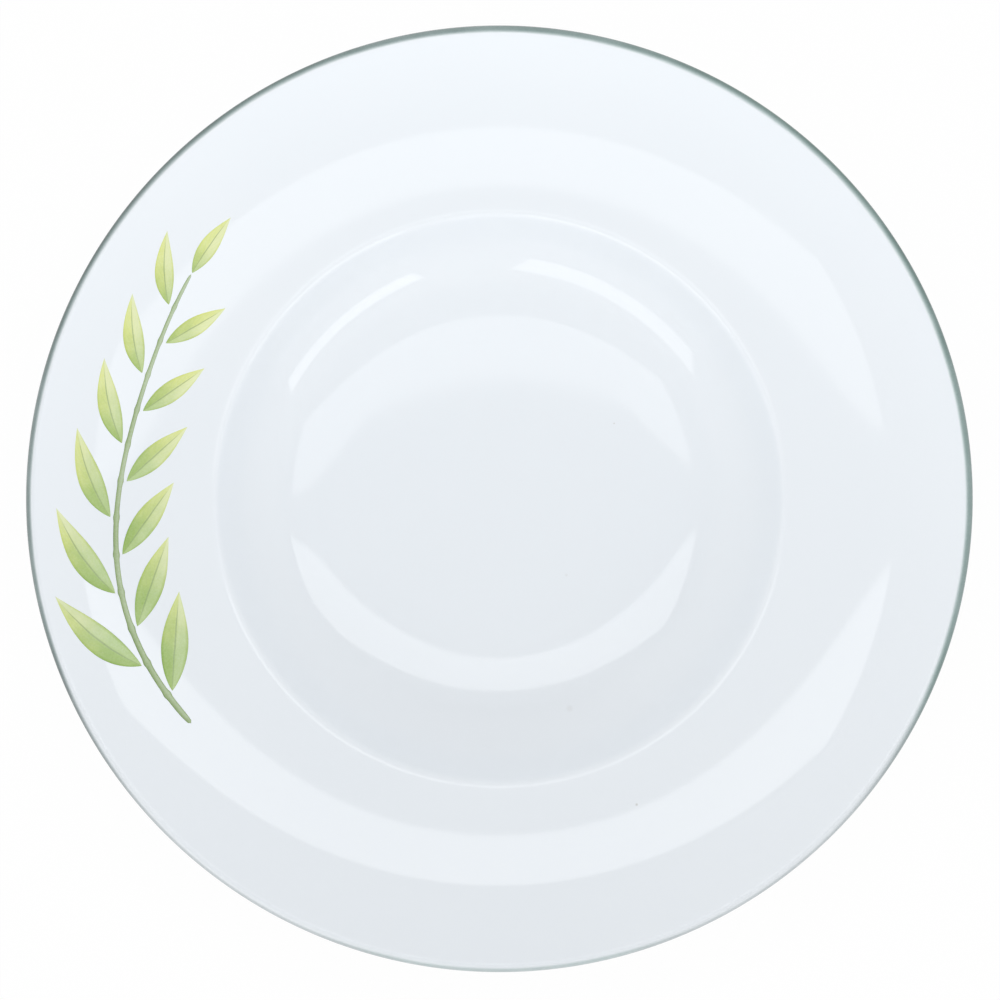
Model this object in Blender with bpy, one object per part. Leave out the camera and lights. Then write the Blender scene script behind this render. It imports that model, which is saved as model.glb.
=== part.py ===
"""A deep salad plate in white porcelain: a dished base on a foot ring, a well wall that curves up from a
cove and turns over a crisp shoulder into a broad hollow rim, a fine line of colour on the lip, and a leaf
sprig printed on the left of the rim.

Units are metres and +Z is up. The origin is on the table, on the plate's axis. +Y is the top of the plate
as it is looked down on, so the sprig lies towards -X.
"""

import math
from collections import namedtuple

import bpy
from mathutils import Vector

MM = 0.001

# Plan sizes of the porcelain
PLATE_RADIUS = 110.0 * MM
WELL_RADIUS = 68.0 * MM
SHOULDER_WIDTH = 3.2 * MM
BASE_RADIUS = 42.0 * MM
COVE_WIDTH = 8.0 * MM

# Heights of the eating face, each from the one before
BASE_DISH = 1.9 * MM
WELL_DEPTH = 16.4 * MM
RIM_RISE = 9.8 * MM

# Slopes of the eating face
BASE_EDGE_ANGLE = math.radians(6.0)
COVE_ANGLE = math.radians(13.0)
WALL_ANGLE = math.radians(51.0)
RIM_INNER_ANGLE = math.radians(7.9)
RIM_OUTER_ANGLE = math.radians(24.0)

# Thickness of the porcelain
FLOOR_THICKNESS = 4.4 * MM
WALL_THICKNESS = 4.2 * MM
RIM_ROOT_THICKNESS = 4.0 * MM
LIP_THICKNESS = 3.2 * MM
UNDER_SHOULDER_REACH = 5.5 * MM

# Foot ring
FOOT_RADIUS = 48.0 * MM
FOOT_WIDTH = 3.4 * MM
FOOT_RECESS = 2.0 * MM
FOOT_EDGE = 0.7 * MM
FOOT_OUTER_BLEND = 3.0 * MM
FOOT_INNER_BLEND = 2.4 * MM

# Fired colour: how far it lies off the porcelain, and how thick it is
SEAT_GAP = 0.15 * MM
INK_THICKNESS = 0.2 * MM

# Line of colour round the lip, measured in plan from its outer edge
BAND_TOP_WIDTH = 1.2 * MM
BAND_UNDER_WIDTH = 0.6 * MM

# Printed sprig: its stem follows the middle of the rim, and its leaves stop a margin short of the rim's edges
SPRIG_MIDDLE = math.radians(180.0)
SPRIG_LENGTH = 112.0 * MM
STEM_WIDTH = 1.5 * MM
STEM_TIP_WIDTH = 0.8 * MM
STEM_SWAY = 2.0 * MM
LEAF_COUNT = 13
LEAF_SPLAY = math.radians(38.0)
LEAF_WIDTH = 6.6 * MM
LEAF_TIP_WIDTH = 0.5 * MM
LEAF_TAPER = 0.62
LEAF_CURL = 0.12
LEAF_FULLNESS = 0.85
PRINT_MARGIN = 5.5 * MM
PRINT_GAP = 0.4 * MM

# Facets: the steps round the axis and each rounded edge, and the widest facet of each stretch of the profile
TURN_STEPS = 72
BASE_FACET = 14.1 * MM
WALL_FACET = 3.3 * MM
SHOULDER_FACET = 0.9 * MM
RIM_FACET = 5.0 * MM
UNDER_RIM_FACET = 6.0 * MM
UNDER_SHOULDER_FACET = 2.2 * MM
UNDER_WALL_FACET = 4.7 * MM
LIP_STEPS = 6
BLEND_STEPS = 3
EDGE_STEPS = 2
BAND_STEPS = 4
MERGE_DISTANCE = 0.01 * MM
STEM_STEPS = 28
LEAF_STEPS = 8
LEAF_CROSS_STEPS = 2

# Colours
PORCELAIN_WHITE = (0.80, 0.85, 0.89)
BAND_GREEN = (0.30, 0.38, 0.36)
STEM_GREEN = (0.25, 0.33, 0.15)
LEAF_DEEP = (0.36, 0.47, 0.17)
LEAF_YELLOW = (0.70, 0.77, 0.36)
GLAZE_ROUGHNESS = 0.08

Station = namedtuple("Station", "radius height gradient")

LIP_RADIUS = LIP_THICKNESS / 2
FLOOR_TOP = FOOT_RECESS + FLOOR_THICKNESS
RIM_MIDDLE = (WELL_RADIUS + PLATE_RADIUS) / 2
RIM_HALF_WIDTH = (PLATE_RADIUS - WELL_RADIUS) / 2


def clear_scene():
    for old in list(bpy.data.objects):
        bpy.data.objects.remove(old, do_unlink=True)


def material(name, colour):
    made = bpy.data.materials.new(name)
    made.use_nodes = True
    shader = made.node_tree.nodes["Principled BSDF"]
    shader.inputs["Base Color"].default_value = (*colour, 1.0)
    shader.inputs["Roughness"].default_value = GLAZE_ROUGHNESS
    shader.inputs["Metallic"].default_value = 0.0
    return made


def add_piece(name, points, edges, faces, colour, whole):
    """A named object of one material, carried by the plate's empty."""
    mesh = bpy.data.meshes.new(name)
    mesh.from_pydata(points, edges, faces)
    mesh.materials.append(material(name, colour))
    mesh.shade_smooth()
    piece = bpy.data.objects.new(name, mesh)
    piece.parent = whole
    bpy.context.scene.collection.objects.link(piece)
    return piece


def turn(piece):
    """Turn a profile that lies in the XZ plane once round the plate's axis."""
    screw = piece.modifiers.new("turned", "SCREW")
    screw.axis = "Z"
    screw.angle = math.tau
    screw.steps = TURN_STEPS
    screw.render_steps = TURN_STEPS
    screw.use_merge_vertices = True
    screw.merge_threshold = MERGE_DISTANCE


def on_cubic(start, end, radius):
    """The station at a radius on the cubic that joins two stations and keeps their gradients."""
    span = end.radius - start.radius
    mean = (end.height - start.height) / span
    t = (radius - start.radius) / span
    height = (
        start.height * (1 + 2 * t) * (1 - t) ** 2
        + end.height * t * t * (3 - 2 * t)
        + span * start.gradient * t * (1 - t) ** 2
        - span * end.gradient * t * t * (1 - t)
    )
    gradient = (
        start.gradient * (1 - 4 * t + 3 * t * t)
        + end.gradient * (3 * t * t - 2 * t)
        + 6 * mean * t * (1 - t)
    )
    return Station(radius, height, gradient)


def run(start, end, facet):
    """Stations after the first one, along the cubic between two, no more than a facet apart in plan."""
    width = end.radius - start.radius
    steps = math.ceil(abs(width) / facet)
    return [on_cubic(start, end, start.radius + width * i / steps) for i in range(1, steps + 1)]


def eating_face():
    """Stations of the upper face: centre, base edge, cove's end, wall top, start and end of the rim."""
    base_edge, cove = math.tan(BASE_EDGE_ANGLE), math.tan(COVE_ANGLE)
    wall, rim_start = math.tan(WALL_ANGLE), math.tan(RIM_INNER_ANGLE)
    cove_rise = COVE_WIDTH * (base_edge + cove) / 2
    shoulder_top = FLOOR_TOP + WELL_DEPTH
    shoulder_drop = SHOULDER_WIDTH * (wall + rim_start) / 2
    lip_run = LIP_RADIUS * (1 + math.sin(RIM_OUTER_ANGLE))
    return [
        Station(0.0, FLOOR_TOP, 0.0),
        Station(BASE_RADIUS, FLOOR_TOP + BASE_DISH, base_edge),
        Station(BASE_RADIUS + COVE_WIDTH, FLOOR_TOP + BASE_DISH + cove_rise, cove),
        Station(WELL_RADIUS - SHOULDER_WIDTH, shoulder_top - shoulder_drop, wall),
        Station(WELL_RADIUS, shoulder_top, rim_start),
        Station(PLATE_RADIUS - lip_run, shoulder_top + RIM_RISE, math.tan(RIM_OUTER_ANGLE)),
    ]


def face_at(radius):
    """The upper face at a radius."""
    stations = eating_face()
    for start, end in zip(stations, stations[1:]):
        if radius <= end.radius:
            return on_cubic(start, end, radius)
    return on_cubic(*stations[-2:], radius)


def under_face_at(radius, thickness):
    """A station of the under face that keeps a thickness, measured square to the upper face."""
    above = face_at(radius)
    return Station(radius, above.height - thickness * math.hypot(1, above.gradient), above.gradient)


def lip_centre():
    end = eating_face()[-1]
    return (
        end.radius + LIP_RADIUS * math.sin(RIM_OUTER_ANGLE),
        end.height - LIP_RADIUS * math.cos(RIM_OUTER_ANGLE),
    )


def lip_arc(size, first, last, steps):
    """Points round the middle of the lip, from one angle above the level to another."""
    radius, height = lip_centre()
    angles = [first + (last - first) * i / steps for i in range(steps + 1)]
    return [(radius + size * math.cos(a), height + size * math.sin(a)) for a in angles]


def round_corner(start, corner, end, steps):
    """Points after the first one, along the curve that rounds a corner off."""
    points = []
    for i in range(1, steps + 1):
        t = i / steps
        a, b, c = (1 - t) ** 2, 2 * t * (1 - t), t * t
        points.append(tuple(a * s + b * k + c * e for s, k, e in zip(start, corner, end)))
    return points


def upper_profile():
    """The eating face from the axis out to the lip."""
    stations = eating_face()
    points = [stations[0][:2]]
    facets = (BASE_FACET, WALL_FACET, WALL_FACET, SHOULDER_FACET, RIM_FACET)
    for start, end, facet in zip(stations, stations[1:], facets):
        points += [station[:2] for station in run(start, end, facet)]
    return points


def under_rim_profile(lip_end):
    """The under face from the lip in to the foot, without its first point."""
    stations = [
        Station(*lip_end, math.tan(RIM_OUTER_ANGLE)),
        under_face_at(WELL_RADIUS + UNDER_SHOULDER_REACH, RIM_ROOT_THICKNESS),
        under_face_at(WELL_RADIUS - SHOULDER_WIDTH, WALL_THICKNESS),
        under_face_at(FOOT_RADIUS + FOOT_OUTER_BLEND, WALL_THICKNESS),
    ]
    points = []
    facets = (UNDER_RIM_FACET, UNDER_SHOULDER_FACET, UNDER_WALL_FACET)
    for start, end, facet in zip(stations, stations[1:], facets):
        points += [station[:2] for station in run(start, end, facet)]
    return points, stations[-1]


def foot_profile(wall_foot):
    """The foot ring and the recess inside it, from the wall in to the axis."""
    outer, inner = FOOT_RADIUS, FOOT_RADIUS - FOOT_WIDTH
    root = wall_foot.height - wall_foot.gradient * FOOT_OUTER_BLEND
    recess_edge = under_face_at(inner - FOOT_INNER_BLEND, FLOOR_THICKNESS)
    recess_root = recess_edge.height + recess_edge.gradient * FOOT_INNER_BLEND
    outer_side = (outer, root - FOOT_OUTER_BLEND)
    inner_side = (inner, recess_root - FOOT_INNER_BLEND)
    points = round_corner(wall_foot[:2], (outer, root), outer_side, BLEND_STEPS)
    points.append((outer, FOOT_EDGE))
    points += round_corner((outer, FOOT_EDGE), (outer, 0.0), (outer - FOOT_EDGE, 0.0), EDGE_STEPS)
    points.append((inner + FOOT_EDGE, 0.0))
    points += round_corner((inner + FOOT_EDGE, 0.0), (inner, 0.0), (inner, FOOT_EDGE), EDGE_STEPS)
    points.append(inner_side)
    points += round_corner(inner_side, (inner, recess_root), recess_edge[:2], BLEND_STEPS)
    points += [station[:2] for station in run(recess_edge, Station(0.0, FOOT_RECESS, 0.0), BASE_FACET)]
    return points


def plate_body(whole):
    """Base, wall, shoulder, rim, lip and foot ring, turned as one piece of porcelain."""
    profile = upper_profile()
    quarter = math.pi / 2
    lip = lip_arc(LIP_RADIUS, quarter + RIM_OUTER_ANGLE, RIM_OUTER_ANGLE - quarter, LIP_STEPS)
    profile += lip[1:]
    under_rim, wall_foot = under_rim_profile(lip[-1])
    profile += under_rim + foot_profile(wall_foot)
    points = [(radius, 0.0, height) for radius, height in profile]
    edges = [(i, i + 1) for i in range(len(points) - 1)]
    turn(add_piece("plate_body", points, edges, [], PORCELAIN_WHITE, whole))


def rim_band(whole):
    """The line of colour: a thin ring that wraps the lip's rounded edge."""
    inside = LIP_RADIUS + SEAT_GAP
    outside = inside + INK_THICKNESS
    top = math.acos(1 - BAND_TOP_WIDTH / outside)
    bottom = -math.acos(1 - BAND_UNDER_WIDTH / outside)
    section = lip_arc(outside, top, bottom, BAND_STEPS) + lip_arc(inside, bottom, top, BAND_STEPS)
    points = [(radius, 0.0, height) for radius, height in section]
    edges = [(i, (i + 1) % len(points)) for i in range(len(points))]
    turn(add_piece("rim_band", points, edges, [], BAND_GREEN, whole))


def strip(rows):
    """Points and upward faces of a sheet. Its rows run forward, and each runs from right to left."""
    across = len(rows[0])
    points = [point for row in rows for point in row]
    faces = []
    for i in range(len(rows) - 1):
        for j in range(across - 1):
            corner = i * across + j
            faces.append((corner, corner + across, corner + across + 1, corner + 1))
    return points, faces


def print_film(name, rows, colour, whole):
    """A film of fired colour: a sheet that follows the porcelain, thickened away from it."""
    points, faces = strip(rows)
    piece = add_piece(name, points, [], faces, colour, whole)
    film = piece.modifiers.new("film", "SOLIDIFY")
    film.thickness = INK_THICKNESS
    film.offset = 1.0
    return piece


def on_rim(along, across):
    """A point of the film's under side: along the rim's middle, clockwise from the sprig's own middle, and
    out across the rim from there."""
    angle = SPRIG_MIDDLE - along / RIM_MIDDLE
    radius = RIM_MIDDLE + across
    return Vector((radius * math.cos(angle), radius * math.sin(angle), face_at(radius).height + SEAT_GAP))


def stem_at(share):
    """Where the stem lies along and across the rim, and its heading: its cut end is at 0 and its tip at 1."""
    along = SPRIG_LENGTH * (share - 0.5)
    across = STEM_SWAY * math.sin(math.tau * share)
    heading = math.atan2(STEM_SWAY * math.tau * math.cos(math.tau * share), SPRIG_LENGTH)
    return along, across, heading


def sprig_stem(whole):
    """A stem that sways gently along the middle of the rim and narrows to its tip."""
    rows = []
    for i in range(STEM_STEPS + 1):
        share = i / STEM_STEPS
        along, across, heading = stem_at(share)
        half = (STEM_WIDTH + (STEM_TIP_WIDTH - STEM_WIDTH) * share) / 2
        back, out = half * math.sin(heading), half * math.cos(heading)
        rows.append([on_rim(along - side * back, across + side * out) for side in (-1, 1)])
    print_film("sprig_stem", rows, STEM_GREEN, whole)


def leaf_outline(length, width, curl):
    """Rows of a pointed leaf in its own plan, along +X: widest before its middle, and bent by the curl."""
    rows = []
    for i in range(LEAF_STEPS + 1):
        t = i / LEAF_STEPS
        half = (LEAF_TIP_WIDTH + (width - LEAF_TIP_WIDTH) * math.sin(math.pi * t**LEAF_FULLNESS)) / 2
        bend = curl * length * t * t
        shares = [2 * j / LEAF_CROSS_STEPS - 1 for j in range(LEAF_CROSS_STEPS + 1)]
        rows.append([(length * t, bend + half * share) for share in shares])
    return rows


def sprig_leaf(number, share, side, size, whole):
    """One leaf beside the stem, or at its tip where the side is 0, laid round the rim."""
    longest = (RIM_HALF_WIDTH - PRINT_MARGIN) / math.sin(LEAF_SPLAY)
    along, across, heading = stem_at(share)
    if side == 0:
        forward_gap, side_gap = PRINT_GAP, 0.0
    else:
        forward_gap, side_gap = 0.0, side * (STEM_WIDTH / 2 + PRINT_GAP + LEAF_TIP_WIDTH / 2)
    along += forward_gap * math.cos(heading) - side_gap * math.sin(heading)
    across += forward_gap * math.sin(heading) + side_gap * math.cos(heading)
    base = on_rim(along, across)
    leans = heading + side * LEAF_SPLAY
    ahead, aside = math.cos(leans), math.sin(leans)
    rows = []
    for row in leaf_outline(longest * size, LEAF_WIDTH * size, -side * LEAF_CURL):
        laid = [on_rim(along + x * ahead - y * aside, across + x * aside + y * ahead) for x, y in row]
        rows.append([point - base for point in laid])
    colour = [deep + (yellow - deep) * share for deep, yellow in zip(LEAF_DEEP, LEAF_YELLOW)]
    leaf = print_film(f"sprig_leaf_{number:02d}", rows, colour, whole)
    leaf.location = base


def sprig_leaves(whole):
    """Leaves by turns on each side of the stem, smaller towards its tip, and one at the tip itself."""
    beside = LEAF_COUNT - 1
    for i in range(beside):
        share = (i + 1) / LEAF_COUNT
        size = 1 + (LEAF_TAPER - 1) * share
        sprig_leaf(i + 1, share, 1 if i % 2 else -1, size, whole)
    sprig_leaf(LEAF_COUNT, 1.0, 0, LEAF_TAPER, whole)


def main():
    clear_scene()
    whole = bpy.data.objects.new("salad_plate", None)
    bpy.context.scene.collection.objects.link(whole)
    plate_body(whole)
    rim_band(whole)
    sprig_stem(whole)
    sprig_leaves(whole)


main()
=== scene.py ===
"""The looks of a deep salad plate: porcelain turned in one piece under a clear glaze, a line of grey-green
colour round the lip, and a sprig of leaves printed on the left of the rim.

Units are metres and +Z is up. The origin is on the table, below the middle of the plate. +Y is the top of the
plate as it is looked down on, so the sprig lies towards -X.
"""

import math
from collections import namedtuple
from types import SimpleNamespace

import bpy
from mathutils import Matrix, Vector


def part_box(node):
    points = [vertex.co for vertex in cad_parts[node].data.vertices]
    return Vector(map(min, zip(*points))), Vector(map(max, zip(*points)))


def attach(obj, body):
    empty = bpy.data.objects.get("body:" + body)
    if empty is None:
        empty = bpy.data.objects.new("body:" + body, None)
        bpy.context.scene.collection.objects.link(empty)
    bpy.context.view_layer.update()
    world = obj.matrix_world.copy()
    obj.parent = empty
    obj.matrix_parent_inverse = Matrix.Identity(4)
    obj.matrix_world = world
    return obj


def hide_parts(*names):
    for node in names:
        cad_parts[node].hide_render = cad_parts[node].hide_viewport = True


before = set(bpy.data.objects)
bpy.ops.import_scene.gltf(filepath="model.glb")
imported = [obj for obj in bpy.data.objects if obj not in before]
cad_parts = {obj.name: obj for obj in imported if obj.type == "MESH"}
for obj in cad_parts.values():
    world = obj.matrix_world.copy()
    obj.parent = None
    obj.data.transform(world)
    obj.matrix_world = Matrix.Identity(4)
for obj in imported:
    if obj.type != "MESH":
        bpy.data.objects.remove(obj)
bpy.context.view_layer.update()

MM = 0.001

# Porcelain, turned as the CAD body is, but with finer facets, a tighter shoulder, a flatter start of the
# rim, and a base that turns up later
PORCELAIN = SimpleNamespace(
    plate_radius=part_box("plate_body")[1].x,
    well_radius=68.0 * MM,
    shoulder_width=3.2 * MM,
    shoulder_ease=1.0 * MM,
    rim_spring=5.0 * MM,
    turn_radius=37.0 * MM,
    base_radius=42.0 * MM,
    cove_width=8.0 * MM,
    base_dish=1.92 * MM,
    well_depth=16.4 * MM,
    rim_rise=9.8 * MM,
    turn_angle=math.radians(4.72),
    base_edge_angle=math.radians(6.4),
    cove_angle=math.radians(11.7),
    wall_angle=math.radians(51.0),
    ease_angle=math.radians(13.0),
    spring_angle=math.radians(6.8),
    rim_inner_angle=math.radians(7.9),
    rim_outer_angle=math.radians(24.0),
    floor_thickness=4.4 * MM,
    wall_thickness=4.2 * MM,
    rim_root_thickness=4.0 * MM,
    lip_thickness=3.2 * MM,
    under_shoulder_reach=5.5 * MM,
    foot_radius=48.0 * MM,
    foot_width=3.4 * MM,
    foot_recess=2.0 * MM,
    foot_edge=0.7 * MM,
    foot_outer_blend=3.0 * MM,
    foot_inner_blend=2.4 * MM,
    facet=0.9 * MM,
    fine_facet=0.2 * MM,
)
TURN_STEPS = 288
LIP_STEPS = 18
EDGE_STEPS = 6
SEAM = 0.002 * MM

# Line of colour round the lip: its widths are measured in plan from the outermost point of the lip
LIP_LINE = SimpleNamespace(
    top_width=1.70 * MM,
    under_width=0.5 * MM,
    height=0.05 * MM,
    heavy_side=0.20,
    thin_side=0.10,
    waver=0.08,
    waver_scale=9.0,
    seed=4.0,
)
LINE_NEAR_FADE = (0.25, 0.75)
LINE_STEPS = 360
LINE_CROSS_STEPS = 40

# Printed sprig, laid along the middle of the rim
SPRIG = SimpleNamespace(
    middle=math.radians(180.0),
    rim_middle=(PORCELAIN.well_radius + PORCELAIN.plate_radius) / 2,
    length=112.0 * MM,
    sway=2.0 * MM,
    ink_height=0.04 * MM,
)
STEM = SimpleNamespace(
    width=1.5 * MM,
    tip_width=0.8 * MM,
    knuckle=0.3,
    knuckle_sharpness=6.0,
    end_bluntness=40.0,
)
LEAF_COUNT = 13
LEAF_SPLAY = math.radians(38.0)
RIM_MARGIN = 5.5 * MM
LEAF = SimpleNamespace(
    splay=LEAF_SPLAY,
    length=((PORCELAIN.plate_radius - PORCELAIN.well_radius) / 2 - RIM_MARGIN) / math.sin(LEAF_SPLAY),
    width=6.6 * MM,
    taper=0.62,
    curl=0.12,
    fullness=0.85,
    gap=0.4 * MM,
    root=0.25 * MM,
    waver=0.05,
    waver_length=2.0,
    waver_step=5.7,
    seed=11.0,
)
LEAF_TONES = (("deep", 1, 4), ("mid", 5, 9), ("light", 10, LEAF_COUNT))
LEAF_STEPS = 56
LEAF_CROSS_STEPS = 28
STEM_STEPS = 220
STEM_CROSS_STEPS = 14

# Colours
WHITE = (1.0, 1.0, 1.0)
PORCELAIN_WHITE = (0.808, 0.846, 0.882)
PORCELAIN_COOL = (0.786, 0.828, 0.871)
BISQUE = (0.72, 0.70, 0.66)
SPECK_BROWN = (0.36, 0.33, 0.28)
LINE_GREEN = (0.36, 0.45, 0.42)
LINE_GREY = (0.33, 0.37, 0.36)
LEAF_GREEN = (0.41, 0.56, 0.17)
LEAF_YELLOW = (0.83, 0.86, 0.30)
VEIN_OLIVE = (0.42, 0.50, 0.28)
STEM_OLIVE = (0.34, 0.44, 0.20)

# Specks in the glaze, in plan: how far right and up of the middle, their radius, and how dark they are
SPECKS = (
    (32.1 * MM, -71.5 * MM, 0.45 * MM, 0.40),
    (16.6 * MM, -49.6 * MM, 1.10 * MM, 0.10),
    (27.2 * MM, 17.9 * MM, 0.25 * MM, 0.45),
    (15.9 * MM, -18.1 * MM, 0.50 * MM, 0.12),
)

# Surfaces: a gloss is its roughness, how far that varies, and the height of its unevenness
GLAZE_GLOSS = (0.035, 0.01, 0.6e-6)
INK_GLOSS = (0.14, 0.03, 0.6e-6)
INK_RELIEF = 4e-6
GLAZE_IOR = 1.5
BROAD_PEEL = 3
SPECK_CORE = 0.2
BARE_FOOT = SimpleNamespace(
    all_bare=0.15 * MM,
    all_glazed=0.45 * MM,
    roughness=0.6,
    grain=20e-6,
)

# Noise in the finishes: its scale per metre, its detail and its seed
NOISE = SimpleNamespace(
    glaze_broad=(38.0, 3.0, 0.0),
    glaze_fine=(210.0, 1.0, 3.0),
    porcelain_cast=(16.0, 2.0, 2.0),
    bisque_grain=(1500.0, 3.0, 6.0),
    ink_pools=(140.0, 3.0, 5.0),
    ink_grains=(2400.0, 2.0, 8.0),
    line_cast=(14.0, 2.0, 7.0),
    leaf_stray=(260.0, 2.0, 9.0),
)

# Inks: how densely each lies and where that changes, and how uneven its wash and its grain are
LINE_INK = SimpleNamespace(
    full=1.1,
    between=(0.2, 0.45),
    dark_between=0.5,
    # The near side of the line is paled as a painted highlight, for the lamps mirrored in the lip there
    painted_highlight_near=0.64,
    painted_highlight_near_between=0.1,
    fade_start=0.45,
    fade_start_between=0.35,
    grey=(-0.4, 0.9),
    grey_left=0.5,
    grey_near_between=1.5,
    wash=0.25,
    grain=0.15,
)
STEM_INK = SimpleNamespace(
    body=0.75,
    edge=0.35,
    edge_band=(0.55, 0.95),
    shade=0.3,
    shade_band=(-0.4, 0.9),
    tip=0.25,
    wash=0.3,
    grain=0.25,
)
LEAF_INK = SimpleNamespace(
    body=0.74,
    fold=0.30,
    fold_band=(-0.25, 0.25),
    edge=0.30,
    edge_band=(0.72, 1.0),
    tip=0.24,
    midrib=0.3,
    wash=0.3,
    grain=0.22,
)

# Marks on a leaf, along its length and across its half width: how ripe it is, its midrib and its veins
LEAF_MARKS = SimpleNamespace(
    ripe=(0.35, 1.25),
    ripe_up_the_stem=0.55,
    ripe_stray=0.25,
    midrib=(0.02, 0.09),
    midrib_end=(0.75, 0.98),
    midrib_stray=0.06,
    midrib_tint=0.75,
    veins=9,
    vein=(0.0, 0.22),
    vein_slant=2.6,
    vein_stray=0.15,
    vein_start=(0.05, 0.2),
    vein_end=(0.6, 0.95),
    vein_tint=0.22,
)

# Camera: straight above the plate, which has this place and radius in the picture
PICTURE_PIXELS = 1000
PLATE_PIXEL = (499.4, 498.8)
PLATE_PIXEL_RADIUS = 473.4
CAMERA_HEIGHT = 1.2
SENSOR = 0.036

# Light: the walls, two strip lamps over the plate, two panels on the near side, a fill, and the floor
CEILING = 0.41
WALLS = 0.236
WINDOW = 0.74
WINDOW_FOCUS = 6
STRIP_HEIGHT = 0.36
NEAR_STRIP = SimpleNamespace(
    ends=(-0.0535, 0.077),
    edges=(-0.0349, -0.0051),
    turn=math.radians(3.6),
    radiance=1.2,
)
FAR_STRIP = SimpleNamespace(
    ends=(-0.063, 0.10),
    edges=(0.0134, 0.0517),
    turn=math.radians(2.3),
    radiance=1.76,
)
PANEL_DISTANCE = 0.9
LEFT_PANEL = SimpleNamespace(side=-30.0, rise=33.0, spread=50.0, depth=19.5, radiance=1.55)
RIGHT_PANEL = SimpleNamespace(side=41.0, rise=29.3, spread=42.0, depth=12.5, radiance=1.9)
FILL = SimpleNamespace(place=(0.0, 0.10, 0.40), width=0.25, depth=0.10, radiance=8.1)
FLOOR_SIZE = 6.0
FLOOR_DROP = 0.02 * MM
FLOOR_WHITE = (0.86, 0.86, 0.86)
FLOOR_GLOW = 0.98
# Under the plate the floor glows less: painted shade there, on top of the plate's own shadow
PAINTED_SHADE_GLOW = 0.80

Station = namedtuple("Station", "radius height gradient")


# Node trees written as expressions


class Wire:
    """A value that comes out of a node. Arithmetic on it adds Math nodes to its tree."""

    def __init__(self, tree, socket):
        self.tree = tree
        self.socket = socket

    def __add__(self, other):
        return self.tree.math("ADD", self, other)

    def __radd__(self, other):
        return self.tree.math("ADD", other, self)

    def __sub__(self, other):
        return self.tree.math("SUBTRACT", self, other)

    def __rsub__(self, other):
        return self.tree.math("SUBTRACT", other, self)

    def __mul__(self, other):
        return self.tree.math("MULTIPLY", self, other)

    def __rmul__(self, other):
        return self.tree.math("MULTIPLY", other, self)

    def __truediv__(self, other):
        return self.tree.math("DIVIDE", self, other)

    def __pow__(self, other):
        return self.tree.math("POWER", self, other)

    def __neg__(self):
        return self.tree.math("MULTIPLY", self, -1.0)

    def __abs__(self):
        return self.tree.math("ABSOLUTE", self)


def sine(x):
    return x.tree.math("SINE", x) if isinstance(x, Wire) else math.sin(x)


def cosine(x):
    return x.tree.math("COSINE", x) if isinstance(x, Wire) else math.cos(x)


def tangent(x):
    return x.tree.math("TANGENT", x) if isinstance(x, Wire) else math.tan(x)


def root(x):
    return x.tree.math("SQRT", x) if isinstance(x, Wire) else math.sqrt(x)


class Tree:
    """A node tree of Blender's, with short ways to add nodes and to join them."""

    def __init__(self, tree):
        self.tree = tree
        self.given = {}

    def add(self, kind, filled=None, **settings):
        """A new node. Its settings come first, because they decide which sockets it has."""
        node = self.tree.nodes.new(kind)
        for name, value in settings.items():
            setattr(node, name, value)
        for key, value in (filled or {}).items():
            self.fill(node.inputs[key], value)
        return node

    def fill(self, socket, value):
        if isinstance(value, Wire):
            self.tree.links.new(value.socket, socket)
        else:
            socket.default_value = value

    def wire(self, kind, filled=None, out=0, **settings):
        """One output of a new node."""
        return Wire(self, self.add(kind, filled, **settings).outputs[out])

    def math(self, operation, *values):
        return self.wire("ShaderNodeMath", dict(enumerate(values)), operation=operation)

    def vector(self, x, y, z):
        return self.wire("ShaderNodeCombineXYZ", {"X": x, "Y": y, "Z": z})

    def smooth(self, value, low, high):
        """0 below low, 1 above high, and an even sweep between."""
        filled = {"Value": value, "From Min": low, "From Max": high}
        return self.wire("ShaderNodeMapRange", filled, interpolation_type="SMOOTHSTEP")

    def mix(self, share, first, second):
        """A colour between two."""
        return self.wire("ShaderNodeMix", {0: share, 6: first, 7: second}, out=2, data_type="RGBA")

    def noise(self, vector, scale, detail=2.0, seed=0.0):
        """Even noise from 0 to 1."""
        filled = {"Vector": vector, "W": seed, "Scale": scale, "Detail": detail}
        return self.wire("ShaderNodeTexNoise", filled, noise_dimensions="4D")


class Group(Tree):
    """A node group with named inputs and outputs."""

    def __init__(self, name, kind):
        super().__init__(bpy.data.node_groups.new(name, kind))
        self.entry = self.add("NodeGroupInput")
        self.exit = self.add("NodeGroupOutput")

    def input(self, name, kind="NodeSocketFloat", value=None):
        """A named input. A value given here is the one that the group's own piece gets."""
        made = self.tree.interface.new_socket(name=name, in_out="INPUT", socket_type=kind)
        if value is not None:
            self.given[made.identifier] = value
        return Wire(self, self.entry.outputs[-2])

    def inputs(self, piece, sizes):
        """A named input for each size of a piece."""
        made = {}
        for name, value in vars(sizes).items():
            made[name] = self.input(f"{piece} {name}".replace("_", " ").title(), value=value)
        return SimpleNamespace(**made)

    def output(self, name, kind, value):
        self.tree.interface.new_socket(name=name, in_out="OUTPUT", socket_type=kind)
        self.fill(self.exit.inputs[name], value)


def geometry_group(name):
    return Group(name, "GeometryNodeTree")


def shader_group(name):
    return Group(name, "ShaderNodeTree")


def end_piece(tree, geometry, material):
    """Seal a piece's seams, shade it smooth, and put it out as plain geometry of one material."""
    sealed = tree.wire("GeometryNodeMergeByDistance", {"Geometry": geometry, "Distance": SEAM})
    smooth = tree.wire("GeometryNodeSetShadeSmooth", {"Geometry": sealed})
    plain = tree.wire("GeometryNodeRealizeInstances", {"Geometry": smooth})
    finished = tree.wire("GeometryNodeSetMaterial", {"Geometry": plain, "Material": material})
    tree.output("Geometry", "NodeSocketGeometry", finished)


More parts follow.
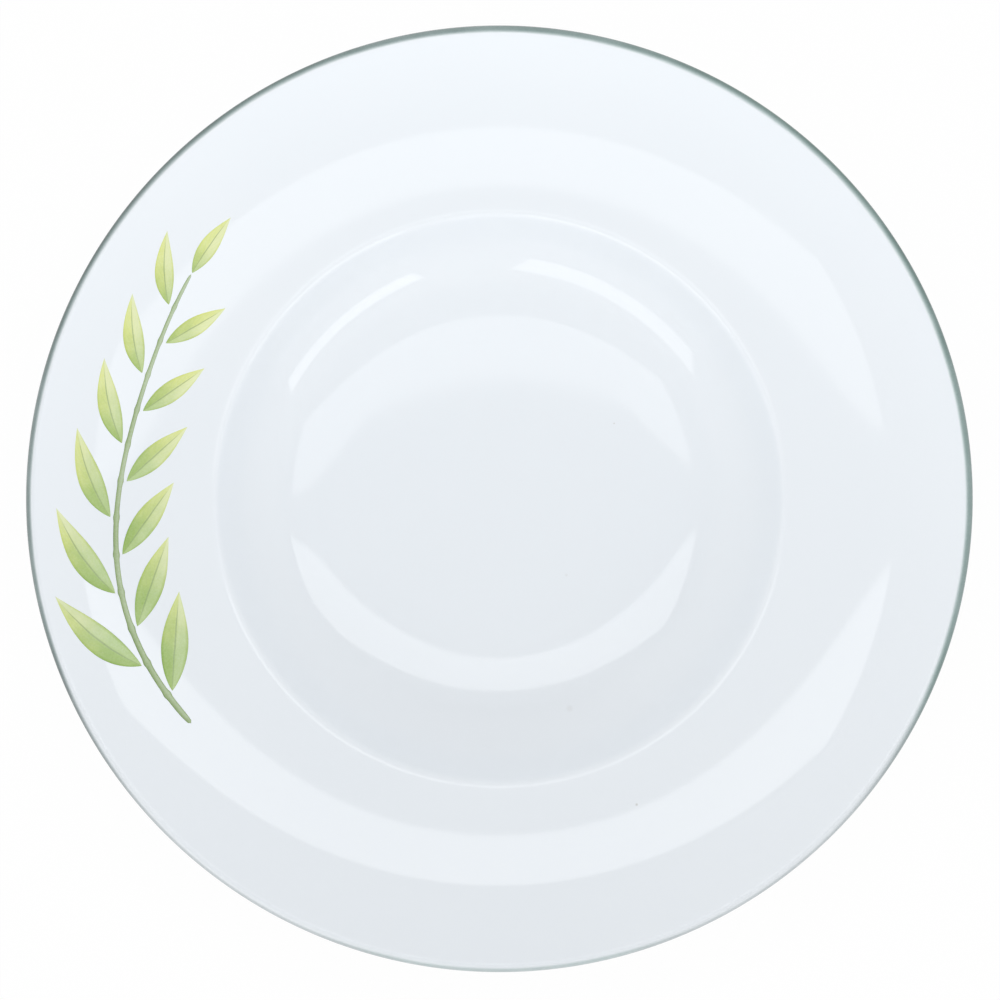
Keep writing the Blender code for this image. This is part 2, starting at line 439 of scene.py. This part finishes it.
def grow(name, tree):
    """The piece that a geometry tree makes from the sizes given to it, as a plain mesh."""
    piece = bpy.data.objects.new(name, bpy.data.meshes.new(name))
    bpy.context.scene.collection.objects.link(piece)
    modifier = piece.modifiers.new(name, "NODES")
    modifier.node_group = tree.tree
    for identifier, value in tree.given.items():
        modifier[identifier] = value
    evaluated = piece.evaluated_get(bpy.context.evaluated_depsgraph_get())
    mesh = bpy.data.meshes.new_from_object(evaluated)
    piece.modifiers.remove(modifier)
    piece.data = mesh
    return piece


# Porcelain


def on_cubic(start, end, radius):
    """The station at a radius on the cubic that joins two stations and keeps their gradients."""
    span = end.radius - start.radius
    mean = (end.height - start.height) / span
    t = (radius - start.radius) / span
    height = (
        start.height * (1 + 2 * t) * (1 - t) ** 2
        + end.height * t * t * (3 - 2 * t)
        + span * start.gradient * t * (1 - t) ** 2
        - span * end.gradient * t * t * (1 - t)
    )
    gradient = (
        start.gradient * (1 - 4 * t + 3 * t * t)
        + end.gradient * (3 * t * t - 2 * t)
        + 6 * mean * t * (1 - t)
    )
    return Station(radius, height, gradient)


def eating_face(size):
    """Stations of the upper face: centre, where the base turns up, base edge, cove's end, wall top, the
    shoulder's ease, the start of the rim, the end of its flatter spring, and the end of the rim."""
    turn, base_edge = tangent(size.turn_angle), tangent(size.base_edge_angle)
    cove, wall = tangent(size.cove_angle), tangent(size.wall_angle)
    ease, flat = tangent(size.ease_angle), tangent(size.spring_angle)
    rim_start, rim_stop = tangent(size.rim_inner_angle), tangent(size.rim_outer_angle)
    floor_top = size.foot_recess + size.floor_thickness
    base_top = floor_top + size.base_dish
    turn_drop = (size.base_radius - size.turn_radius) * (turn + base_edge) / 2
    cove_rise = size.cove_width * (base_edge + cove) / 2
    shoulder_top = floor_top + size.well_depth
    shoulder_drop = size.shoulder_width * (wall + rim_start) / 2
    lip_run = size.lip_thickness / 2 * (1 + sine(size.rim_outer_angle))
    rim_end = Station(size.plate_radius - lip_run, shoulder_top + size.rim_rise, rim_stop)
    rim_sweep = Station(size.well_radius, shoulder_top, rim_start)
    spring = on_cubic(rim_sweep, rim_end, size.well_radius + size.rim_spring)
    rim_foot = spring.height - size.rim_spring * (flat + spring.gradient) / 2
    ease_foot = rim_foot - size.shoulder_ease * (ease + flat) / 2
    return [
        Station(0.0, floor_top, 0.0),
        Station(size.turn_radius, base_top - turn_drop, turn),
        Station(size.base_radius, base_top, base_edge),
        Station(size.base_radius + size.cove_width, base_top + cove_rise, cove),
        Station(size.well_radius - size.shoulder_width, shoulder_top - shoulder_drop, wall),
        Station(size.well_radius - size.shoulder_ease, ease_foot, ease),
        Station(size.well_radius, rim_foot, flat),
        spring,
        rim_end,
    ]


def lip_centre(size):
    """Radius and height of the middle of the rounded lip."""
    end = eating_face(size)[-1]
    lip_radius = size.lip_thickness / 2
    radius = end.radius + lip_radius * sine(size.rim_outer_angle)
    return radius, end.height - lip_radius * cosine(size.rim_outer_angle)


def below(station, thickness):
    """The station under one of the upper face, a thickness away from it measured square to the face."""
    drop = thickness * root(1 + station.gradient * station.gradient)
    return Station(station.radius, station.height - drop, station.gradient)


class Profile:
    """Stretches of the turned profile. They are drawn from the lip's own circle, with heights reversed,
    because that is how a profile is laid on the circle that it follows."""

    def __init__(self, tree, size):
        self.tree = tree
        self.size = size
        self.stretches = []

    def point(self, radius, height):
        return self.tree.vector(radius - self.size.plate_radius, -height, 0.0)

    def cubic(self, start, end, facet):
        third = (end.radius - start.radius) / 3
        filled = {
            "Resolution": self.tree.math("CEIL", abs(end.radius - start.radius) / facet),
            "Start": self.point(start.radius, start.height),
            "Start Handle": self.point(start.radius + third, start.height + third * start.gradient),
            "End Handle": self.point(end.radius - third, end.height - third * end.gradient),
            "End": self.point(end.radius, end.height),
        }
        self.stretches.append(self.tree.wire("GeometryNodeCurvePrimitiveBezierSegment", filled))

    def corner(self, start, corner, end):
        """The curve that rounds a corner off."""
        filled = {
            "Resolution": EDGE_STEPS,
            "Start": self.point(*start),
            "Middle": self.point(*corner),
            "End": self.point(*end),
        }
        self.stretches.append(self.tree.wire("GeometryNodeCurveQuadraticBezier", filled))

    def line(self, start, end):
        filled = {"Start": self.point(*start), "End": self.point(*end)}
        self.stretches.append(self.tree.wire("GeometryNodeCurvePrimitiveLine", filled))

    def lip(self):
        """The half round of the lip, from the upper face over to the under face."""
        radius, height = lip_centre(self.size)
        filled = {
            "Resolution": LIP_STEPS + 1,
            "Radius": self.size.lip_thickness / 2,
            "Start Angle": -self.size.rim_outer_angle - math.pi / 2,
            "Sweep Angle": math.pi,
        }
        arc = self.tree.wire("GeometryNodeCurveArc", filled)
        placed = {"Geometry": arc, "Translation": self.point(radius, height)}
        self.stretches.append(self.tree.wire("GeometryNodeTransform", placed))

    def turned(self):
        """All the stretches, turned once round the plate's axis."""
        joined = self.tree.add("GeometryNodeJoinGeometry")
        for stretch in self.stretches:
            self.tree.fill(joined.inputs["Geometry"], stretch)
        circle_sizes = {"Resolution": TURN_STEPS, "Radius": self.size.plate_radius}
        circle = self.tree.wire("GeometryNodeCurvePrimitiveCircle", circle_sizes)
        swept = {"Curve": circle, "Profile Curve": Wire(self.tree, joined.outputs[0])}
        return self.tree.wire("GeometryNodeCurveToMesh", swept)


def porcelain_body(material):
    """Base, wall, shoulder, rim, lip and foot ring, turned as one piece."""
    tree = geometry_group("Turned Porcelain")
    size = tree.inputs("porcelain", PORCELAIN)
    profile = Profile(tree, size)

    centre, turn, base_edge, cove, wall_top, ease, rim_root, spring, rim_edge = eating_face(size)
    profile.cubic(centre, turn, size.facet)
    profile.cubic(turn, base_edge, size.facet)
    profile.cubic(base_edge, cove, size.facet)
    profile.cubic(cove, wall_top, size.facet)
    profile.cubic(wall_top, ease, size.fine_facet)
    profile.cubic(ease, rim_root, size.fine_facet)
    profile.cubic(rim_root, spring, size.facet)
    profile.cubic(spring, rim_edge, size.facet)
    profile.lip()

    lip_radius, lip_height = lip_centre(size)
    lip_under = Station(
        lip_radius + size.lip_thickness / 2 * sine(size.rim_outer_angle),
        lip_height - size.lip_thickness / 2 * cosine(size.rim_outer_angle),
        rim_edge.gradient,
    )
    rim_under = below(on_cubic(spring, rim_edge, size.well_radius + size.under_shoulder_reach),
                      size.rim_root_thickness)
    wall_under = below(wall_top, size.wall_thickness)
    wall_foot = below(on_cubic(cove, wall_top, size.foot_radius + size.foot_outer_blend),
                      size.wall_thickness)
    profile.cubic(lip_under, rim_under, size.facet)
    profile.cubic(rim_under, wall_under, size.facet)
    profile.cubic(wall_under, wall_foot, size.facet)

    outer, inner, table = size.foot_radius, size.foot_radius - size.foot_width, 0.0
    root_height = wall_foot.height - wall_foot.gradient * size.foot_outer_blend
    recess_edge = below(on_cubic(base_edge, cove, inner - size.foot_inner_blend), size.floor_thickness)
    recess_root = recess_edge.height + recess_edge.gradient * size.foot_inner_blend
    outer_side = (outer, root_height - size.foot_outer_blend)
    inner_side = (inner, recess_root - size.foot_inner_blend)
    profile.corner(wall_foot[:2], (outer, root_height), outer_side)
    profile.line(outer_side, (outer, size.foot_edge))
    profile.corner((outer, size.foot_edge), (outer, table), (outer - size.foot_edge, table))
    profile.line((outer - size.foot_edge, table), (inner + size.foot_edge, table))
    profile.corner((inner + size.foot_edge, table), (inner, table), (inner, size.foot_edge))
    profile.line((inner, size.foot_edge), inner_side)
    profile.corner(inner_side, (inner, recess_root), recess_edge[:2])
    profile.cubic(recess_edge, Station(0.0, size.foot_recess, 0.0), size.facet)

    end_piece(tree, profile.turned(), material)
    return grow("porcelain_body", tree)


# Colour on the porcelain


def ribbon(tree, rows, columns):
    """A sheet to be rolled up into a flat bead: how far along it and round its section each point lies."""
    filled = {"Vertices X": rows + 1, "Vertices Y": columns + 1}
    sheet = tree.wire("GeometryNodeMeshGrid", filled)
    index = tree.wire("GeometryNodeInputIndex")
    row = tree.math("FLOOR", (index + 0.5) / (columns + 1))
    capture = tree.add("GeometryNodeCaptureAttribute")
    for name in ("Along", "Round"):
        capture.capture_items.new("FLOAT", name)
    tree.fill(capture.inputs["Geometry"], sheet)
    tree.fill(capture.inputs["Along"], row / rows)
    tree.fill(capture.inputs["Round"], (index - row * (columns + 1)) / columns * math.tau)
    return [Wire(tree, capture.outputs[name]) for name in ("Geometry", "Along", "Round")]


def place(tree, geometry, position):
    return tree.wire("GeometryNodeSetPosition", {"Geometry": geometry, "Position": position})


def store(tree, geometry, **values):
    """Keep values on the mesh, for its material to read."""
    for name, value in values.items():
        geometry = tree.wire("GeometryNodeStoreNamedAttribute",
                             {"Geometry": geometry, "Name": name, "Value": value})
    return geometry


def lip_line(material):
    """A flat bead of colour that wraps the rounded lip, with an edge that wavers: broadest on the far right,
    and thin on the near side."""
    tree = geometry_group("Lip Line")
    size = tree.inputs("line", LIP_LINE)
    centre_radius, centre_height = lip_centre(PORCELAIN)
    lip = tree.inputs("lip", SimpleNamespace(
        centre_radius=centre_radius,
        centre_height=centre_height,
        radius=PORCELAIN.lip_thickness / 2,
    ))
    sheet, along, section = ribbon(tree, LINE_STEPS, LINE_CROSS_STEPS)
    angle = along * math.tau
    east, north = cosine(angle), sine(angle)
    noise = tree.noise(tree.vector(east, north, 0.0), size.waver_scale, seed=size.seed)
    near = tree.smooth(-north, *LINE_NEAR_FADE)
    heavy = (east + north) * math.sqrt(0.5)
    width = (1 + size.waver * (noise * 2 - 1) + size.heavy_side * heavy) * (1 - size.thin_side * near)
    top = tree.math("ARCCOSINE", 1 - size.top_width * width / lip.radius)
    under = -tree.math("ARCCOSINE", 1 - size.under_width * width / lip.radius)
    lean = under + (top - under) * (1 - cosine(section)) / 2
    reach = lip.radius + size.height * sine(section)
    radius = lip.centre_radius + reach * cosine(lean)
    position = tree.vector(radius * east, radius * north, lip.centre_height + reach * sine(lean))
    inwards = (1 - cosine(lean)) * lip.radius / (size.top_width * width)
    laid = store(tree, place(tree, sheet, position), line_inwards=inwards)
    end_piece(tree, laid, material)
    return grow("lip_line", tree)


def lay_on_rim_group():
    """Puts a place along and across the rim, and a height over it, onto the porcelain."""
    tree = geometry_group("Lay On Rim")
    porcelain = tree.input("Porcelain", "NodeSocketGeometry")
    along, across, lift, middle, rim_middle = [
        tree.input(name) for name in ("Along", "Across", "Lift", "Sprig Middle", "Rim Middle")
    ]
    angle = middle - along / rim_middle
    radius = rim_middle + across
    above = tree.vector(radius * cosine(angle), radius * sine(angle), CAMERA_HEIGHT)
    ray = tree.add("GeometryNodeRaycast", {
        "Target Geometry": porcelain,
        "Source Position": above,
        "Ray Direction": (0.0, 0.0, -1.0),
        "Ray Length": CAMERA_HEIGHT,
    })
    hit, normal = Wire(tree, ray.outputs["Hit Position"]), Wire(tree, ray.outputs["Hit Normal"])
    raised = tree.wire("ShaderNodeVectorMath", {0: normal, "Scale": lift}, operation="SCALE")
    laid = tree.wire("ShaderNodeVectorMath", {0: hit, 1: raised}, operation="ADD")
    tree.output("Position", "NodeSocketVector", laid)
    return tree.tree


def lay_on_rim(tree, lay, porcelain, sprig, along, across, lift):
    info = {"Object": tree.input("Porcelain", "NodeSocketObject", porcelain)}
    body = tree.wire("GeometryNodeObjectInfo", info, out="Geometry")
    filled = {
        "Porcelain": body,
        "Along": along,
        "Across": across,
        "Lift": lift,
        "Sprig Middle": sprig.middle,
        "Rim Middle": sprig.rim_middle,
    }
    return tree.wire("GeometryNodeGroup", filled, node_tree=lay)


def stem_at(tree, sprig, share):
    """Where the stem lies along and across the rim, and its heading: its cut end is at 0 and its tip at 1."""
    along = sprig.length * (share - 0.5)
    across = sprig.sway * sine(share * math.tau)
    heading = tree.math("ARCTAN2", sprig.sway * math.tau * cosine(share * math.tau), sprig.length)
    return along, across, heading


def sprig_stem(material, porcelain, lay):
    """A stem that sways along the middle of the rim, swells a little where each leaf leaves it, and narrows
    to its tip."""
    tree = geometry_group("Sprig Stem")
    sprig, size = tree.inputs("sprig", SPRIG), tree.inputs("stem", STEM)
    sheet, share, section = ribbon(tree, STEM_STEPS, STEM_CROSS_STEPS)
    along, across, heading = stem_at(tree, sprig, share)
    knuckle = tree.math("MAXIMUM", cosine(share * math.tau * LEAF_COUNT), 0.0) ** size.knuckle_sharpness
    closed = root(1 - abs(share * 2 - 1) ** size.end_bluntness)
    half = (size.width + (size.tip_width - size.width) * share) / 2 * (1 + size.knuckle * knuckle) * closed
    aside = -cosine(section)
    position = lay_on_rim(
        tree, lay, porcelain, sprig,
        along - half * aside * sine(heading),
        across + half * aside * cosine(heading),
        sprig.ink_height * sine(section) * closed,
    )
    laid = store(tree, place(tree, sheet, position), stem_along=share, stem_across=aside)
    end_piece(tree, laid, material)
    return grow("sprig_stem_ink", tree)


def sprig_leaves(name, material, porcelain, lay, first, last):
    """Leaves beside the stem by turns, or at its tip for the last of all, smaller towards the tip."""
    tree = geometry_group(name.replace("_", " ").title())
    sprig, size = tree.inputs("sprig", SPRIG), tree.inputs("leaf", LEAF)
    blank, t, section = ribbon(tree, LEAF_STEPS, LEAF_CROSS_STEPS)

    places = tree.wire("GeometryNodePoints", {"Count": last - first + 1})
    numbered = tree.add("GeometryNodeCaptureAttribute")
    numbered.capture_items.new("FLOAT", "Number")
    tree.fill(numbered.inputs["Geometry"], places)
    tree.fill(numbered.inputs["Number"], tree.wire("GeometryNodeInputIndex") + float(first))
    number = Wire(tree, numbered.outputs["Number"])
    spots = Wire(tree, numbered.outputs["Geometry"])
    copies = tree.wire("GeometryNodeInstanceOnPoints", {"Points": spots, "Instance": blank})
    leaves = tree.wire("GeometryNodeRealizeInstances", {"Geometry": copies})

    share = number / LEAF_COUNT
    beside = tree.math("LESS_THAN", number, LEAF_COUNT - 0.5)
    side = (1 - 2 * tree.math("MODULO", number, 2.0)) * beside
    grown = 1 + (size.taper - 1) * share
    spot = tree.vector(t * size.waver_length, number * size.waver_step, 0.0)
    noise = tree.noise(spot, 1.0, seed=size.seed)
    pointed = sine(math.pi * t**size.fullness)
    half = size.width / 2 * grown * pointed * (1 + size.waver * (noise * 2 - 1))
    across_leaf = -cosine(section)
    ahead = size.length * grown * t
    aside = half * across_leaf - side * size.curl * size.length * grown * t * t

    along, across, heading = stem_at(tree, sprig, share)
    side_gap = side * (STEM.width / 2 + size.gap + size.root)
    forward_gap = (1 - beside) * size.gap
    lean = heading + side * size.splay
    position = lay_on_rim(
        tree, lay, porcelain, sprig,
        along + forward_gap - side_gap * sine(heading) + ahead * cosine(lean) - aside * sine(lean),
        across + side_gap * cosine(heading) + ahead * sine(lean) + aside * cosine(lean),
        sprig.ink_height * sine(section) * root(pointed),
    )
    laid = store(tree, place(tree, leaves, position),
                 leaf_along=t, leaf_across=across_leaf, leaf_share=share)
    end_piece(tree, laid, material)
    return grow(name, tree)


# Finishes


def glaze_skin_group():
    """A fired glaze: its gloss varies a little, and its surface is faintly uneven."""
    tree = shader_group("Glaze Skin")
    gloss, spread, peel = [tree.input(name) for name in ("Roughness", "Spread", "Peel Height")]
    spot = tree.wire("ShaderNodeTexCoord", out="Object")
    broad = tree.noise(spot, *NOISE.glaze_broad)
    fine = tree.noise(spot, *NOISE.glaze_fine)
    tree.output("Roughness", "NodeSocketFloat", gloss + spread * (broad * 2 - 1))
    tree.output("Height", "NodeSocketFloat", peel * (fine + broad * BROAD_PEEL))
    return tree.tree


def ink_group():
    """Fired ink over porcelain: thin ink is a pale tint, and thick ink comes up to its full colour."""
    tree = shader_group("Ink On Porcelain")
    ink = tree.input("Ink", "NodeSocketColor")
    density, wash, grain = [tree.input(name) for name in ("Density", "Wash", "Grain")]
    spot = tree.wire("ShaderNodeTexCoord", out="Object")
    pools = tree.noise(spot, *NOISE.ink_pools)
    grains = tree.noise(spot, *NOISE.ink_grains)
    laid = density * (1 + wash * (pools * 2 - 1) + grain * (grains * 2 - 1))
    split = tree.add("ShaderNodeSeparateColor", {"Color": ink})
    channels = [Wire(tree, out) ** laid * white for out, white in zip(split.outputs, PORCELAIN_WHITE)]
    colour = tree.wire("ShaderNodeCombineColor", dict(enumerate(channels)))
    tree.output("Color", "NodeSocketColor", colour)
    tree.output("Density", "NodeSocketFloat", laid)
    return tree.tree


def rgba(colour):
    return (*colour, 1.0)


class Finish(Tree):
    """A glazed material."""

    def __init__(self, name, skin):
        self.material = bpy.data.materials.new(name)
        self.material.use_nodes = True
        super().__init__(self.material.node_tree)
        self.shader = self.tree.nodes["Principled BSDF"]
        self.shader.inputs["IOR"].default_value = GLAZE_IOR
        self.skin = self.add("ShaderNodeGroup", node_tree=skin)

    def set_skin(self, roughness, spread, peel):
        for name, value in (("Roughness", roughness), ("Spread", spread), ("Peel Height", peel)):
            self.fill(self.skin.inputs[name], value)
        return [Wire(self, self.skin.outputs[name]) for name in ("Roughness", "Height")]

    def set(self, colour, roughness, height):
        """Colour, roughness, and a height in metres for the bump."""
        self.fill(self.shader.inputs["Base Color"], colour)
        self.fill(self.shader.inputs["Roughness"], roughness)
        bump = self.wire("ShaderNodeBump", {"Height": height, "Distance": 1.0, "Strength": 1.0})
        self.fill(self.shader.inputs["Normal"], bump)
        return self.material

    def attribute(self, name):
        return self.wire("ShaderNodeAttribute", out="Fac", attribute_name=name)


def porcelain_finish(skin):
    """Cool white porcelain: a clear glaze, a few specks in it, and a bare standing face on the foot ring."""
    finish = Finish("glazed_porcelain", skin)
    spot = finish.wire("ShaderNodeTexCoord", out="Object")
    split = finish.add("ShaderNodeSeparateXYZ", {"Vector": spot})
    east, north, up = [Wire(finish, out) for out in split.outputs]
    cast = finish.noise(spot, *NOISE.porcelain_cast)
    colour = finish.mix(cast, rgba(PORCELAIN_WHITE), rgba(PORCELAIN_COOL))
    for speck_east, speck_north, radius, dark in SPECKS:
        away = root((east - speck_east) ** 2 + (north - speck_north) ** 2)
        mask = 1 - finish.smooth(away, radius * SPECK_CORE, radius)
        colour = finish.mix(mask * dark, colour, rgba(SPECK_BROWN))
    bare = 1 - finish.smooth(up, BARE_FOOT.all_bare, BARE_FOOT.all_glazed)
    grain = finish.noise(spot, *NOISE.bisque_grain)
    colour = finish.mix(bare, colour, rgba(BISQUE))
    roughness, height = finish.set_skin(*GLAZE_GLOSS)
    rough = roughness + bare * BARE_FOOT.roughness
    return finish.set(colour, rough, height + bare * grain * BARE_FOOT.grain)


def inked(finish, group, look, colour, density):
    """The material of an ink on the porcelain: duller than the glaze, and raised where it lies thick."""
    filled = {"Ink": colour, "Density": density, "Wash": look.wash, "Grain": look.grain}
    node = finish.add("ShaderNodeGroup", filled, node_tree=group)
    shade, laid = [Wire(finish, node.outputs[name]) for name in ("Color", "Density")]
    roughness, height = finish.set_skin(*INK_GLOSS)
    return finish.set(shade, roughness, height + laid * INK_RELIEF)


def line_finish(skin, inks):
    """Grey-green line, full at the lip's edge and fading on the rim side. It is darkest between the far side
    and the left and right sides, and paled on the near side as a painted highlight that stands in for the
    lamps mirrored in the lip there; it is greyer on the left and where it is palest."""
    finish = Finish("lip_line_colour", skin)
    spot = finish.wire("ShaderNodeTexCoord", out="Object")
    split = finish.add("ShaderNodeSeparateXYZ", {"Vector": spot})
    east, north = [Wire(finish, split.outputs[axis]) / PORCELAIN.plate_radius for axis in "XY"]
    cast = finish.noise(spot, *NOISE.line_cast) - 0.5
    near = finish.smooth(-north, *LINE_NEAR_FADE)
    between = finish.smooth(abs(east * north), *LINE_INK.between)
    greyness = cast - east * LINE_INK.grey_left + between * near * LINE_INK.grey_near_between
    grey = finish.smooth(greyness, *LINE_INK.grey)
    hue = finish.mix(grey, rgba(LINE_GREEN), rgba(LINE_GREY))
    inwards = finish.attribute("line_inwards")
    fade = 1 - finish.smooth(inwards, LINE_INK.fade_start - LINE_INK.fade_start_between * between, 1.0)
    dark = LINE_INK.dark_between * between * (1 - near)
    # Painted highlight: the line is paled on the near side, where the lamps are mirrored in the lip
    pale = (LINE_INK.painted_highlight_near + LINE_INK.painted_highlight_near_between * between) * near
    return inked(finish, inks, LINE_INK, hue, fade * (LINE_INK.full + dark - pale))


def stem_finish(skin, inks):
    """Olive stem: darker along one edge, as a brush leaves it."""
    finish = Finish("sprig_stem_colour", skin)
    along, across = finish.attribute("stem_along"), finish.attribute("stem_across")
    edge = finish.smooth(abs(across), *STEM_INK.edge_band)
    shade = finish.smooth(across, *STEM_INK.shade_band)
    density = STEM_INK.body + STEM_INK.edge * edge + STEM_INK.shade * shade - STEM_INK.tip * along
    return inked(finish, inks, STEM_INK, rgba(STEM_OLIVE), density)


def leaf_finish(skin, inks):
    """Leaves washed from green at the stem to yellow at the tip, with a fine midrib and faint side veins."""
    finish, marks = Finish("sprig_leaf_colour", skin), LEAF_MARKS
    along, across, share = [finish.attribute(name) for name in ("leaf_along", "leaf_across", "leaf_share")]
    spot = finish.wire("ShaderNodeTexCoord", out="Object")
    stray = finish.noise(spot, *NOISE.leaf_stray) * 2 - 1
    ripeness = along + share * marks.ripe_up_the_stem + stray * marks.ripe_stray
    ripe = finish.smooth(ripeness, *marks.ripe)
    hue = finish.mix(ripe, rgba(LEAF_GREEN), rgba(LEAF_YELLOW))
    centre = abs(across + stray * marks.midrib_stray)
    midrib = (1 - finish.smooth(centre, *marks.midrib)) * (1 - finish.smooth(along, *marks.midrib_end))
    slanted = along * marks.veins - centre * marks.vein_slant + stray * marks.vein_stray
    comb = finish.math("PINGPONG", slanted, 0.5) * 2
    veins = (1 - finish.smooth(comb, *marks.vein)) * finish.smooth(centre, *marks.vein_start)
    veins = veins * (1 - finish.smooth(centre, *marks.vein_end))
    edge = finish.smooth(centre, *LEAF_INK.edge_band)
    fold = finish.smooth(across, *LEAF_INK.fold_band)
    density = LEAF_INK.body + LEAF_INK.fold * fold + LEAF_INK.edge * edge - LEAF_INK.tip * along
    hue = finish.mix(midrib * marks.midrib_tint + veins * marks.vein_tint, hue, rgba(VEIN_OLIVE))
    return inked(finish, inks, LEAF_INK, hue, density + midrib * LEAF_INK.midrib)


# Studio


def aim(thing, place_at, target):
    thing.location = place_at
    thing.rotation_euler = (Vector(target) - Vector(place_at)).to_track_quat("-Z", "Y").to_euler()


def lamp(name, place_at, target, width, depth, radiance, mirrored=True):
    """A flat soft lamp of even brightness, which the camera sees at most as a mirror image in the glaze."""
    light = bpy.data.lights.new(name, "AREA")
    light.shape = "RECTANGLE"
    light.size = width
    light.size_y = depth
    light.energy = radiance * math.pi * width * depth
    made = bpy.data.objects.new(name, light)
    made.visible_camera = False
    made.visible_glossy = mirrored
    aim(made, place_at, target)
    bpy.context.scene.collection.objects.link(made)
    return made


def strip_lamp(name, strip):
    """A long lamp over the plate, level, across the picture and turned a little."""
    (left, right), (near, far) = strip.ends, strip.edges
    middle = ((left + right) / 2, (near + far) / 2)
    made = lamp(name, (*middle, STRIP_HEIGHT), (*middle, 0.0), right - left, far - near, strip.radiance)
    made.rotation_euler.z += strip.turn


def panel_lamp(name, panel):
    """A wide lamp low on the near side. Where it is and its size are in degrees, as seen from the plate."""
    side, rise = math.radians(panel.side), math.radians(panel.rise)
    flat = PANEL_DISTANCE * math.cos(rise)
    place_at = (flat * math.sin(side), -flat * math.cos(side), PANEL_DISTANCE * math.sin(rise))
    width = 2 * flat * math.tan(math.radians(panel.spread / 2))
    depth = 2 * PANEL_DISTANCE * math.tan(math.radians(panel.depth / 2))
    lamp(name, place_at, (0.0, 0.0, 0.0), width, depth, panel.radiance)


def lights():
    strip_lamp("near_strip", NEAR_STRIP)
    strip_lamp("far_strip", FAR_STRIP)
    lamp("fill", FILL.place, (0.0, 0.0, 0.0), FILL.width, FILL.depth, FILL.radiance, mirrored=False)
    panel_lamp("left_panel", LEFT_PANEL)
    panel_lamp("right_panel", RIGHT_PANEL)


def seen(tree):
    """1 for rays from the camera, and for those mirrored in gloss or sent through glass."""
    path = tree.add("ShaderNodeLightPath")
    kinds = ("Is Camera Ray", "Is Glossy Ray", "Is Transmission Ray")
    camera, glossy, through = [Wire(tree, path.outputs[kind]) for kind in kinds]
    return tree.math("MAXIMUM", tree.math("MAXIMUM", camera, glossy), through)


def studio_walls():
    """White all round and dark overhead, and as a light brightest at the height of the table and on the near
    side."""
    world = bpy.data.worlds.new("studio")
    world.use_nodes = True
    bpy.context.scene.world = world
    tree = Tree(world.node_tree)
    direction = tree.wire("ShaderNodeTexCoord", out="Generated")
    split = tree.add("ShaderNodeSeparateXYZ", {"Vector": direction})
    north, up = Wire(tree, split.outputs["Y"]), Wire(tree, split.outputs["Z"])
    near = tree.math("MAXIMUM", -north, 0.0) ** WINDOW_FOCUS
    light = CEILING + WALLS * (1 - up * up) + WINDOW * near
    white = 1 - up * up * up * up
    looked_at = seen(tree)
    strength = light * (1 - looked_at) + white * looked_at
    tree.fill(world.node_tree.nodes["Background"].inputs["Color"], rgba(WHITE))
    tree.fill(world.node_tree.nodes["Background"].inputs["Strength"], strength)


def floor():
    """A white floor that glows to the camera, and less so under the plate: there the lower glow is painted
    shade, darker than the open floor even where light reaches it, and it also lets the plate's own shadow
    show."""
    half = FLOOR_SIZE / 2
    corners = [(x * half, y * half, -FLOOR_DROP) for x, y in ((-1, -1), (1, -1), (1, 1), (-1, 1))]
    mesh = bpy.data.meshes.new("floor")
    mesh.from_pydata(corners, [], [(0, 1, 2, 3)])
    material = bpy.data.materials.new("floor_white")
    material.use_nodes = True
    tree = Tree(material.node_tree)
    tree.tree.nodes.remove(tree.tree.nodes["Principled BSDF"])
    matt = tree.wire("ShaderNodeBsdfDiffuse", {"Color": rgba(FLOOR_WHITE)})
    glow = tree.wire("ShaderNodeEmission", {"Color": rgba(WHITE), "Strength": 1.0})
    split = tree.add("ShaderNodeSeparateXYZ", {"Vector": tree.wire("ShaderNodeTexCoord", out="Object")})
    east, north = [Wire(tree, split.outputs[axis]) for axis in "XY"]
    # Painted shade: the glow drops under the plate, so the floor there is darker even where it is lit
    clear = tree.smooth(root(east * east + north * north), PORCELAIN.well_radius, PORCELAIN.plate_radius)
    share = PAINTED_SHADE_GLOW + (FLOOR_GLOW - PAINTED_SHADE_GLOW) * clear
    both = tree.wire("ShaderNodeMixShader", {0: seen(tree) * share, 1: matt, 2: glow})
    tree.fill(tree.tree.nodes["Material Output"].inputs["Surface"], both)
    mesh.materials.append(material)
    made = bpy.data.objects.new("floor", mesh)
    bpy.context.scene.collection.objects.link(made)


def camera():
    """Straight above, so that the plate has its size and place in the picture."""
    pixel = (PORCELAIN.plate_radius + LIP_LINE.height) / PLATE_PIXEL_RADIUS
    lens = bpy.data.cameras.new("camera")
    lens.sensor_width = SENSOR / MM
    lens.lens = SENSOR / MM * (CAMERA_HEIGHT - lip_centre(PORCELAIN)[1]) / (pixel * PICTURE_PIXELS)
    made = bpy.data.objects.new("camera", lens)
    made.location = (
        (PICTURE_PIXELS / 2 - PLATE_PIXEL[0]) * pixel,
        (PLATE_PIXEL[1] - PICTURE_PIXELS / 2) * pixel,
        CAMERA_HEIGHT,
    )
    bpy.context.scene.collection.objects.link(made)
    bpy.context.scene.camera = made


def finish_piece(piece, slot, *nodes):
    """The piece moves with the plate, and stands for these CAD nodes."""
    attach(piece, "root")
    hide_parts(*nodes)


def main():
    bpy.context.scene.view_settings.view_transform = "Standard"
    camera()
    studio_walls()
    lights()
    floor()

    skin, inks = glaze_skin_group(), ink_group()
    porcelain = porcelain_body(porcelain_finish(skin))
    finish_piece(porcelain, "porcelain", "plate_body")
    finish_piece(lip_line(line_finish(skin, inks)), "lip_line", "rim_band")
    lay = lay_on_rim_group()
    finish_piece(sprig_stem(stem_finish(skin, inks), porcelain, lay), "print_stem", "sprig_stem")
    leaf_material = leaf_finish(skin, inks)
    for tone, first, last in LEAF_TONES:
        leaves = sprig_leaves(f"sprig_leaves_{tone}", leaf_material, porcelain, lay, first, last)
        nodes = [f"sprig_leaf_{number:02d}" for number in range(first, last + 1)]
        finish_piece(leaves, f"print_leaf_{tone}", *nodes)


main()
